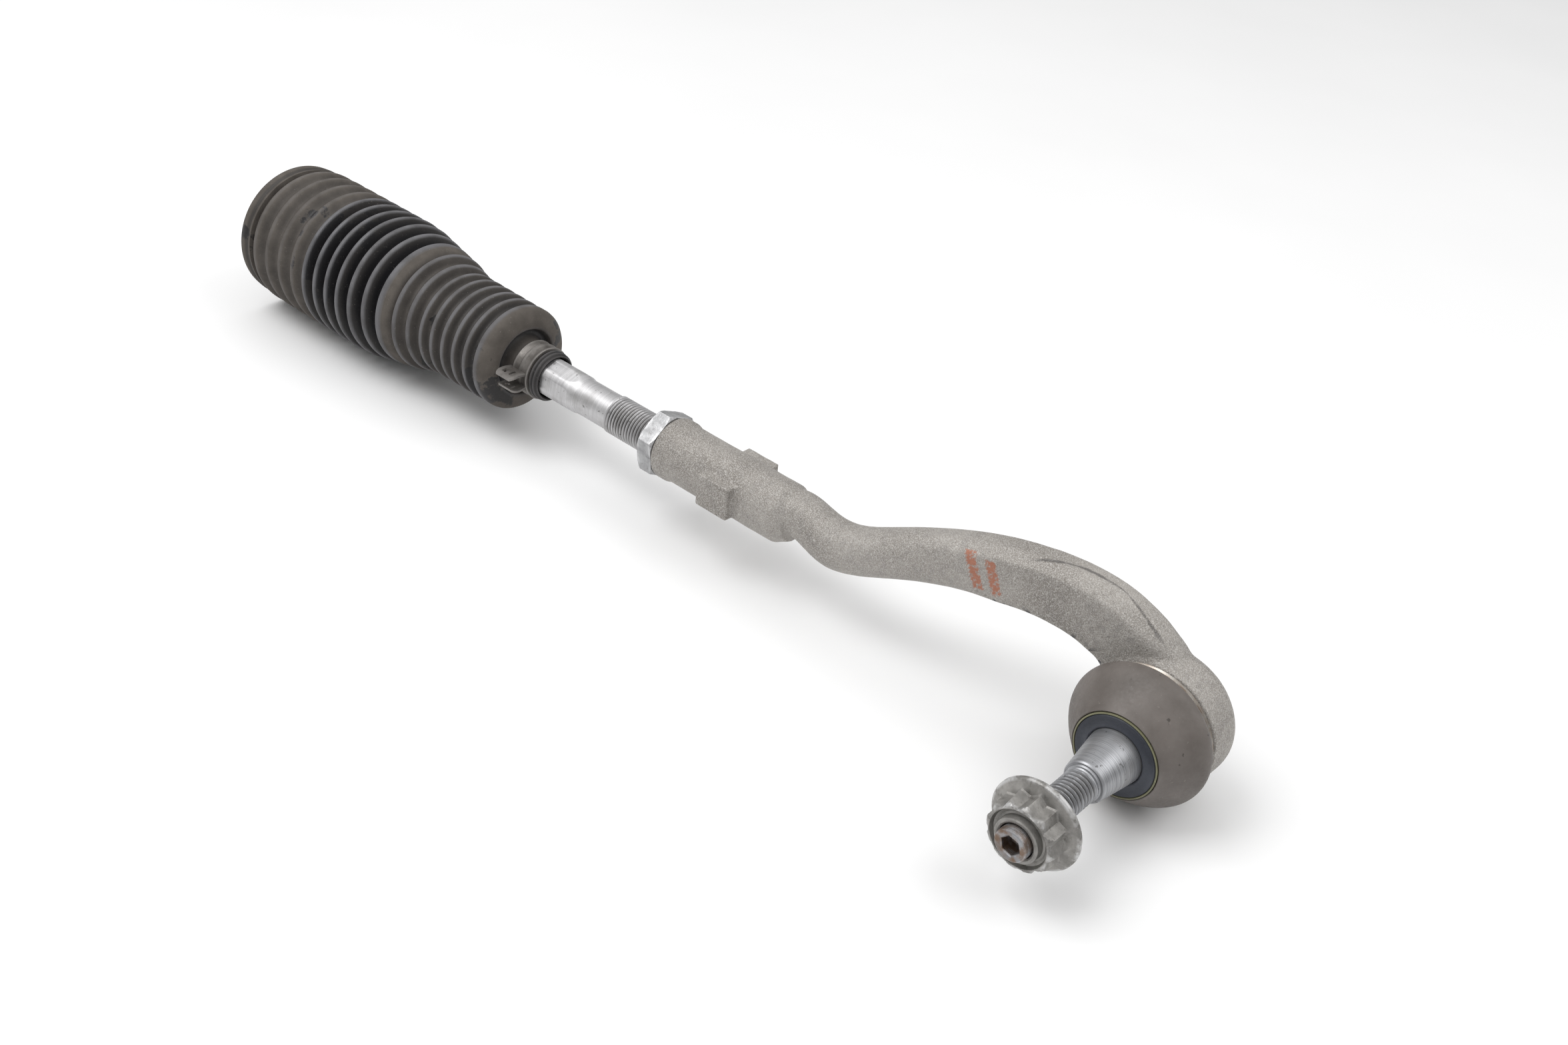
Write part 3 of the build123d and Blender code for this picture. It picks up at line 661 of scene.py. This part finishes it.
# the parting seam: X, and how far forward it lies as a share of half the depth
SEAM_X = [158, 163, 170, 176, 187, 192, 196, 202]
SEAM_FRONT = [0.72, 0.56, 0.28, 0.12, 0.10, 0.32, 0.50, 0.62]
FAR_FROM_SEAM = 9.0
NICKS_START, NICKS_STOP = 146, 206
# each stroke of paint: place along the neck, half its width, and its ends as shares of half the height
PAINT_LEAN = 2.6
PAINT_STROKES = [(142.6, 1.9, -0.45, 0.74), (149.4, 1.8, -0.50, 0.55)]


def ease(low, high, value):
    """Smooth step from 0 at low to 1 at high."""
    t = np.clip((value - low) / (high - low), 0, 1)
    return t * t * (3 - 2 * t)


def neck_place(points):
    """Where each point lies along and beside the swan neck.

    Returns the centre line's X, the offsets outwards and forwards, the section's height and depth, and the
    slope.
    """
    fine = np.array(smooth_profile(NECK_STATIONS, 12))
    line = fine[:, :3] + np.array([0, ROD_POINT.y / MM, ROD_POINT.z / MM])
    slopes = np.arctan2(np.gradient(line[:, 2]), np.gradient(line[:, 0]))
    best = np.full(len(points), np.inf)
    found = np.zeros((len(points), 6))
    for i in range(len(line) - 1):
        run = line[i + 1] - line[i]
        t = np.clip((points - line[i]) @ run / (run @ run), 0, 1)
        away = points - (line[i] + t[:, None] * run)
        distance = np.linalg.norm(away, axis=1)
        near = distance < best
        best[near] = distance[near]
        slope = slopes[i] + t * (slopes[i + 1] - slopes[i])
        outwards = -np.sin(slope) * away[:, 0] + np.cos(slope) * away[:, 2]
        sizes = fine[i, 3:] + t[:, None] * (fine[i + 1, 3:] - fine[i, 3:])
        values = np.column_stack([line[i, 0] + t * run[0], outwards, -away[:, 1], sizes, slope])
        found[near] = values[near]
    return found


def section_radius(out, front):
    """Radius of the worked section in each direction, with slightly rounded corners."""
    angle = np.arctan2(front, out)
    total = np.zeros(len(angle))
    for (u0, v0), (u1, v1) in zip(SECTION, SECTION[1:] + SECTION[:1]):
        normal = np.array([v1 - v0, u0 - u1])
        reach_out = normal @ np.array([u0, v0])
        if reach_out < 0:
            normal, reach_out = -normal, -reach_out
        towards = (np.cos(angle) * normal[0] + np.sin(angle) * normal[1]) / reach_out
        total += np.clip(towards, 0, None) ** EDGE_SHARPNESS
    return total ** (-1 / EDGE_SHARPNESS)


def smooth_near(obj, weights, rounds):
    """Even out the mesh where the weights are over zero."""
    group = obj.vertex_groups.new(name="even")
    for step in range(1, 11):
        chosen = np.nonzero(np.round(weights * 10) == step)[0].tolist()
        if chosen:
            group.add(chosen, step / 10, "REPLACE")
    even = obj.modifiers.new("even", "SMOOTH")
    even.vertex_group = group.name
    even.factor = 0.5
    even.iterations = rounds
    apply_all(obj)
    obj.vertex_groups.clear()


def arm_points(obj):
    """The arm's vertices in millimetres."""
    points = np.empty(len(obj.data.vertices) * 3, np.float32)
    obj.data.vertices.foreach_get("co", points)
    return points.reshape(-1, 3).astype(float) / MM


def make_arm():
    """The forging: the CAD shape with softened corners, a worked section and a blasted skin."""
    arm = bpy.data.objects.new("arm_forging", frame["nodes"]["forged_arm"].data.copy())
    bpy.context.scene.collection.objects.link(arm)
    remesh = arm.modifiers.new("remesh", "REMESH")
    remesh.mode = "VOXEL"
    remesh.voxel_size = ARM_VOXEL * MM
    soften = arm.modifiers.new("soften", "SMOOTH")
    soften.factor = 0.5
    soften.iterations = 3
    apply_all(arm)

    points = arm_points(arm)
    x, out, front, height, depth, slope = neck_place(points).T
    ball = np.array(BALL) / MM
    from_ball = np.hypot(points[:, 0] - ball[0], points[:, 2] - ball[2])
    out_share, front_share = out / (height / 2), front / (depth / 2)
    now = np.hypot(out_share, front_share)
    wanted = section_radius(out_share, front_share)
    strength = ease(128, 152, x) * ease(24.4, 32.0, from_ball) * (now > 0.6) * (now < 1.5)
    strength *= ease(101, 112, points[:, 0])
    scale = 1 + strength * (wanted / np.maximum(now, 0.1) - 1)
    move_out, move_front = out * (scale - 1), front * (scale - 1)
    points[:, 0] += -np.sin(slope) * move_out
    points[:, 2] += np.cos(slope) * move_out
    points[:, 1] -= move_front
    arm.data.vertices.foreach_set("co", (points * MM).astype(np.float32).ravel())
    arm.data.update()

    saddle = ease(33.5, 25.5, from_ball) * ease(20.0, 23.6, from_ball) * (now < 1.55) * (x > 180)
    smooth_near(arm, saddle, 26)
    smooth_near(arm, 0.6 * ease(118, 134, x) * ease(23.0, 27.0, from_ball), 6)
    finish_arm_skin(arm, x, out_share, seam_distance(x, out_share, front_share, depth))


def seam_distance(x, out_share, front_share, depth):
    """Distance in millimetres from the parting seam, which bows back over the outer side of the elbow."""
    place = np.interp(x, SEAM_X, SEAM_FRONT)
    return np.where(out_share > 0.3, np.abs(front_share - place) * depth / 2, FAR_FROM_SEAM)


def finish_arm_skin(arm, along, out_share, seam):
    """Blasted unevenness, and the marks that the material reads: nicks, seam and paint."""
    mesh = arm.data
    points = arm_points(arm)
    normals = np.empty(len(points) * 3, np.float32)
    mesh.vertices.foreach_get("normal", normals)
    normals = normals.reshape(-1, 3)
    lump = np.array([noise.noise(v.co * 90) * 0.11 + noise.noise(v.co * 260) * 0.05 for v in mesh.vertices])
    axis_y, axis_z = ROD_POINT.y / MM, ROD_POINT.z / MM
    in_bore = (points[:, 0] < 54) & (np.hypot(points[:, 1] - axis_y, points[:, 2] - axis_z) < 9.5)
    points += normals * np.where(in_bore, 0.0, lump)[:, None]
    mesh.vertices.foreach_set("co", (points * MM).astype(np.float32).ravel())
    low_front = np.clip(-normals[:, 2], 0, 1) * np.clip(0.6 - normals[:, 1], 0, 1.6)
    on_neck = (points[:, 0] > NICKS_START) & (points[:, 0] < NICKS_STOP)
    point_values(mesh, "nicks", np.where(on_neck, np.clip(2.0 * low_front, 0, 1), 0.10))
    facing = np.clip((-normals[:, 1] - 0.1) * 4, 0, 1)
    lean = along + PAINT_LEAN * out_share
    stroke = np.zeros(len(points), bool)
    for place, half, low, high in PAINT_STROKES:
        stroke |= (np.abs(lean - place) < half) & (out_share > low) & (out_share < high)
    point_values(mesh, "paint", facing * stroke)
    point_values(mesh, "seam", np.minimum(seam, FAR_FROM_SEAM))
    point_values(mesh, "seam_strength", ease(158, 165, along) * (1 - ease(197, 203, along)))
    mesh.polygons.foreach_set("use_smooth", np.ones(len(mesh.polygons), bool))
    mesh.update()
    place_piece(arm, "arm", "forged_arm", cast_alloy())


def apply_all(obj):
    """Bake an object's modifiers into its mesh."""
    depsgraph = bpy.context.evaluated_depsgraph_get()
    baked = bpy.data.meshes.new_from_object(obj.evaluated_get(depsgraph))
    obj.modifiers.clear()
    obj.data = baked


# ---------------------------------------------------------------- outer joint
def make_stud():
    """The ball stud: ball, neck, taper, thread and the hexagon socket in its end."""
    ball_r = 11.5
    taper_start, taper_length, taper_radius, taper_drop = 24.0, 18.2, 10.0, 2.55
    tip = reach("ball_stud")[1]
    rows = [(-9.96, 0.0), (-9.96, 5.75)]
    for i in range(1, 19):
        angle = math.radians(150 - i * 115 / 18)
        rows.append((ball_r * math.cos(angle), ball_r * math.sin(angle)))
    rows += [(11.0, 6.5), (15.0, 6.5), (18.0, 7.6), (21.0, 9.4), (22.0, 9.95)]
    rows += [(taper_start + taper_length * i / 30, taper_radius - taper_drop * i / 30) for i in range(31)]
    rows += [(42.5, 7.25), (42.75, 7.0), (42.8, 6.5, 0.0), (43.4, 6.2, 0.0), (43.6, 5.5, 0.0)]
    rows += thread_rows(43.9, 69.5, STUD_THREAD, fade=1.2)
    rows += [(69.8, 5.3), (76.0, 5.6, 0.6), (tip - 0.9, 5.7, 0.9), (tip - 0.3, 5.55, 1.0), (tip, 5.1, 1.0)]
    socket = hexagon(6.0, 0.2)
    rows += [(tip, lambda a: socket(a) + 0.5, 1.0), (tip - 0.5, socket, 1.0), (tip - 5.2, socket, 1.0)]
    rows.append((tip - 6.6, 0.0, 1.0))
    stud = turned("stud_body", STUD_FRAME, rows, segments=120, sharp=26)
    steel = bright_steel("stud_steel", 1, (0.37, 0.375, 0.39), 0.9, (0.38, 0.52), rust=0.85)
    place_piece(stud, "stud", "ball_stud", steel)


def make_flange_nut():
    """The twelve-point nut: round flange, drive and the raised collar round its bore."""
    start, stop = reach("flange_nut")
    collar = 1.2
    stop -= collar
    ring = 15.75
    tip, point_radius, steepness = 12.35, 12.12, 1.6
    points_a, points_b = hexagon(21.0), hexagon(21.0, math.pi / 6)

    def drive(limit, grow=0.0):
        def radius(angle):
            both = np.maximum(points_a(angle), points_b(angle))
            return np.minimum(limit, tip + steepness * (both - point_radius) + grow)
        return radius
    bore = 6.05
    rows = [(start + 0.6, bore), (start, bore + 0.6), (start, 14.8, 0.8), (start + 0.25, 15.5, 1.0)]
    rows += [(start + 0.7, ring, 1.0), (start + 1.5, ring, 1.0)]
    rows += [(start + 2.0, 15.3, 1.0), (start + 2.3, 14.4, 0.4), (start + 2.7, 13.4, 0.2)]
    rows += [(start + 3.1, drive(12.9, 0.7), 0.2), (start + 3.6, drive(12.5, 0.2), 0.3)]
    rows += [(start + 4.4, drive(tip), 0.45), (stop - 2.2, drive(tip), 0.5), (stop - 1.6, drive(12.1), 0.7)]
    rows += [(stop - 0.8, drive(11.6), 0.95), (stop - 0.25, drive(11.1), 1.0), (stop, 10.5, 0.8)]
    rows += [(stop - 0.1, 10.1, 0.5), (stop - 1.5, 9.5, 0.0), (stop - 1.8, 8.6, 0.0), (stop - 1.6, 7.9, 0.0)]
    rows += [(stop + 0.8, 7.7, 0.0), (stop + 1.15, 7.3, 0.0), (stop + 1.15, 6.6, 0.0)]
    rows += [(stop + 0.8, bore + 0.05, 0.0), (stop - 2.0, bore)]
    nut = turned("flange_nut_body", STUD_FRAME, rows, segments=240, loop=True, sharp=24)
    place_piece(nut, "nut", "flange_nut", zinc("flange_nut_zinc", (0.30, 0.29, 0.275), 0.7, (0.42, 0.62)))


def make_dust_boot():
    """The round rubber boot over the outer joint."""
    foot = reach("dust_boot")[0]
    outer = smooth_profile([
        (foot, 21.9, 0.0), (foot, 23.2, 0.0), (foot + 1.3, 24.75, 0.2), (foot + 3.2, 25.55, 0.3),
        (foot + 5.6, 25.1, 0.1), (foot + 9.4, 22.9, 0.0), (foot + 13.4, 19.9, 0.0), (foot + 16.9, 16.9, 0.0),
        (foot + 18.3, 16.0, 0.6), (foot + 18.5, 15.75, 0.8), (foot + 18.2, 15.4, 0.6),
    ])
    inner = smooth_profile([
        (foot + 16.6, 15.4, 0.0), (foot + 12.4, 18.0, 0.0), (foot + 8.4, 21.0, 0.0), (foot + 5.2, 23.1, 0.0),
        (foot + 3.4, 23.5, 0.0), (foot + 2.2, 22.9, 0.0), (foot + 1.6, 21.9, 0.0),
    ], 3)
    boot = turned("dust_boot_skin", STUD_FRAME, outer + inner, segments=160, loop=True, sharp=60)
    boot.data.materials.append(plain_rubber("dust_rubber", (0.112, 0.098, 0.088), (0.160, 0.142, 0.130)))
    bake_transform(boot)
    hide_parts("dust_boot")


def make_joint_rings():
    """The seal and its edge on the stud, and the retaining ring and end cap on the housing."""
    a, b = reach("stud_seal_ring")
    profile = [
        (a, 10.1), (a, 14.4), (a + 0.3, 14.6), (b - 0.5, 14.6), (b - 0.1, 14.3), (b - 0.25, 13.0),
        (b - 0.45, 11.6), (b - 0.1, 10.9), (b, 10.5), (b - 0.2, 10.1),
    ]
    seal = turned("seal_ring_body", STUD_FRAME, profile, segments=128, loop=True, sharp=40)
    rubber = plain_rubber("seal_rubber", (0.040, 0.044, 0.056), (0.066, 0.072, 0.088))
    place_piece(seal, "stud_tilter", "stud_seal_ring", rubber)
    a, b = reach("seal_edge_ring")
    profile = [(a, 14.7), (a, 15.2), (b - 0.2, 15.3), (b, 15.1), (b, 14.85), (b - 0.2, 14.7)]
    edge = turned("seal_edge_body", STUD_FRAME, profile, segments=128, loop=True, sharp=50)
    place_piece(edge, "stud_tilter", "seal_edge_ring", plastic("edge_plastic", (0.21, 0.205, 0.12)))
    a, b = reach("boot_retaining_ring")
    profile = [
        (a, 21.2), (a, 23.0, 0.6), (a + 0.35, 23.35, 0.8), (a + 0.9, 23.0, 0.1),
        (b - 0.5, 23.35, 1.0), (b - 0.05, 23.0, 0.8), (b, 21.2),
    ]
    ring = turned("retaining_ring_body", STUD_FRAME, profile, segments=160, loop=True, sharp=30)
    steel = bright_steel("ring_steel", 1, (0.36, 0.34, 0.31), 0.6, (0.30, 0.5), rust=0.8)
    place_piece(ring, "arm", "boot_retaining_ring", steel)
    a, b = reach("end_cap")
    profile = [
        (b, 0.0), (b, 17.0), (a + 0.3, 17.0, 0.4), (a, 16.7, 0.8), (a, 14.8, 0.4), (a + 0.35, 13.9, 0.0),
        (a + 0.8, 13.3, 0.0), (a + 0.9, 8.0, 0.0), (a + 0.45, 7.2, 0.2), (a + 0.2, 6.6, 0.5),
        (a + 0.15, 0.0, 0.1),
    ]
    cap = turned("end_cap_body", STUD_FRAME, profile, segments=128, sharp=30)
    place_piece(cap, "arm", "end_cap", zinc("cap_zinc", (0.36, 0.36, 0.36), 0.6))


def make_rack_joint():
    """The inner joint's cup, with its wrench flats and the thread into the rack."""
    lo, hi = span("rack_joint_housing", 0)
    ball_x = RACK_BALL.x / MM
    cup = 17.45
    flats = hexagon(31.0)

    def flat_ring(limit):
        return lambda angle: np.minimum(limit, flats(angle))
    rows = [(lo, 0.0), (lo, 6.4, 0.6), (lo + 0.5, 6.9, 0.8)]
    rows += thread_rows(lo + 0.8, lo + 19.0, ROD_THREAD)
    rows += [(lo + 19.4, 7.2), (lo + 21.0, 7.2), (lo + 21.0, 15.6, 0.4), (lo + 21.8, flat_ring(16.9), 0.8)]
    rows += [(lo + 22.6, flat_ring(cup), 0.3), (lo + 31.5, flat_ring(cup), 0.3), (lo + 32.0, 17.3, 0.4)]
    rows += [(hi - 5.0, cup, 0.2), (hi - 3.0, 16.6, 0.2), (hi - 0.4, 14.3, 0.4)]
    rows += [(hi, 13.6, 0.5), (hi, 12.0, 0.5)]
    inner = 14.5
    for i in range(15):
        angle = math.radians(52 + i * 128 / 14)
        rows.append((ball_x + inner * math.cos(angle), inner * math.sin(angle) if i < 14 else 0.0))
    housing = turned("rack_joint_body", ROD_FRAME, rows, segments=128, sharp=26)
    steel = bright_steel("rack_joint_steel", 0, (0.46, 0.46, 0.47), 0.5, (0.26, 0.42))
    place_piece(housing, "rack_end", "rack_joint_housing", steel)


def dress_hidden_parts():
    """Pieces that keep their CAD mesh get their material."""
    for node, material in (
        ("ball_seat", plastic("seat_plastic", (0.78, 0.76, 0.70))),
        ("rack_joint_bearing", plastic("bearing_plastic", (0.74, 0.73, 0.68))),
    ):
        for slot in frame["nodes"][node].material_slots:
            slot.material = material


# ---------------------------------------------------------------- floor, light and camera
SKY_AT_HORIZON, SKY_OVERHEAD = 0.16, 0.88
SKY_BRIGHT_FROM = 0.85
FLOOR_HALF = 6
FLOOR_GAP = 0.0002
# each light: name, place, size and power
LIGHTS = [("key", (-0.5, -0.5, 1.3), 0.9, 12.0), ("fill", (0.9, 0.5, 1.1), 0.9, 5.0)]
LIGHTS_AIM = (0, 0, 0.03)
SENSOR_WIDTH, LENS = 36.0, 37.56
CAMERA_PLACE = (0.3667, -0.3755, 0.3626)
CAMERA_FORWARD = (-0.5076, 0.6576, -0.5568)
CAMERA_RIGHT = (0.7432, 0.6611, 0.1032)


def make_world():
    """Soft surroundings: bright overhead, dimmer at the horizon, and pale where the camera sees them."""
    world = bpy.data.worlds.new("studio")
    world.use_nodes = True
    tree = world.node_tree
    direction = tree.nodes.new("ShaderNodeTexCoord").outputs["Generated"]
    split = tree.nodes.new("ShaderNodeSeparateXYZ")
    tree.links.new(direction, split.inputs["Vector"])
    height = tree.nodes.new("ShaderNodeMapRange")
    height.inputs["From Min"].default_value = 0.0
    height.inputs["From Max"].default_value = SKY_BRIGHT_FROM
    height.inputs["To Min"].default_value = SKY_AT_HORIZON
    height.inputs["To Max"].default_value = SKY_OVERHEAD
    tree.links.new(split.outputs["Z"], height.inputs["Value"])
    seen = tree.nodes.new("ShaderNodeLightPath").outputs["Is Camera Ray"]
    strength = tree.nodes.new("ShaderNodeMath")
    strength.operation = "MAXIMUM"
    tree.links.new(seen, strength.inputs[0])
    tree.links.new(height.outputs["Result"], strength.inputs[1])
    background = tree.nodes["Background"]
    background.inputs["Color"].default_value = (1.0, 1.0, 1.0, 1.0)
    tree.links.new(strength.outputs["Value"], background.inputs["Strength"])
    bpy.context.scene.world = world


def make_stage():
    """A pale floor under the part, and two soft lights."""
    s = Shader("pale_floor", roughness=0.6)
    soft = s.noise(4.0, 3.0)
    material = s.done(s.mix(s.ramp(soft, 0.3, 0.7), (0.87, 0.87, 0.87), (0.90, 0.90, 0.90)))
    mesh = bpy.data.meshes.new("floor")
    corners = [(-FLOOR_HALF, -FLOOR_HALF, 0), (FLOOR_HALF, -FLOOR_HALF, 0)]
    corners += [(FLOOR_HALF, FLOOR_HALF, 0), (-FLOOR_HALF, FLOOR_HALF, 0)]
    mesh.from_pydata(corners, [], [(0, 1, 2, 3)])
    floor = mesh_object("floor", mesh)
    floor.location.z = min(0.0, CAD_BOX[0][2]) - FLOOR_GAP
    floor.data.materials.append(material)
    for name, place, size, power in LIGHTS:
        light = bpy.data.lights.new(name, "AREA")
        light.size = size
        light.energy = power
        lamp = bpy.data.objects.new(name, light)
        bpy.context.scene.collection.objects.link(lamp)
        lamp.location = place
        lamp.rotation_euler = (Vector(LIGHTS_AIM) - Vector(place)).to_track_quat("-Z", "Y").to_euler()
    bpy.context.scene.view_settings.view_transform = "Standard"


def make_camera():
    """The photograph's view: close, from above the stud's side and the ball end."""
    data = bpy.data.cameras.new("camera")
    data.sensor_width = SENSOR_WIDTH
    data.lens = LENS
    data.clip_start = 0.01
    camera = bpy.data.objects.new("camera", data)
    bpy.context.scene.collection.objects.link(camera)
    forward = Vector(CAMERA_FORWARD).normalized()
    right = Vector(CAMERA_RIGHT).normalized()
    up = right.cross(forward).normalized()
    right = forward.cross(up)
    facing = Matrix((right, up, -forward)).transposed().to_4x4()
    camera.matrix_world = Matrix.Translation(CAMERA_PLACE) @ facing
    bpy.context.scene.camera = camera


make_camera()
make_world()
make_stage()
make_boot()
make_clamp()
make_rod()
make_lock_nut()
make_arm()
make_stud()
make_flange_nut()
make_dust_boot()
make_joint_rings()
make_rack_joint()
dress_hidden_parts()
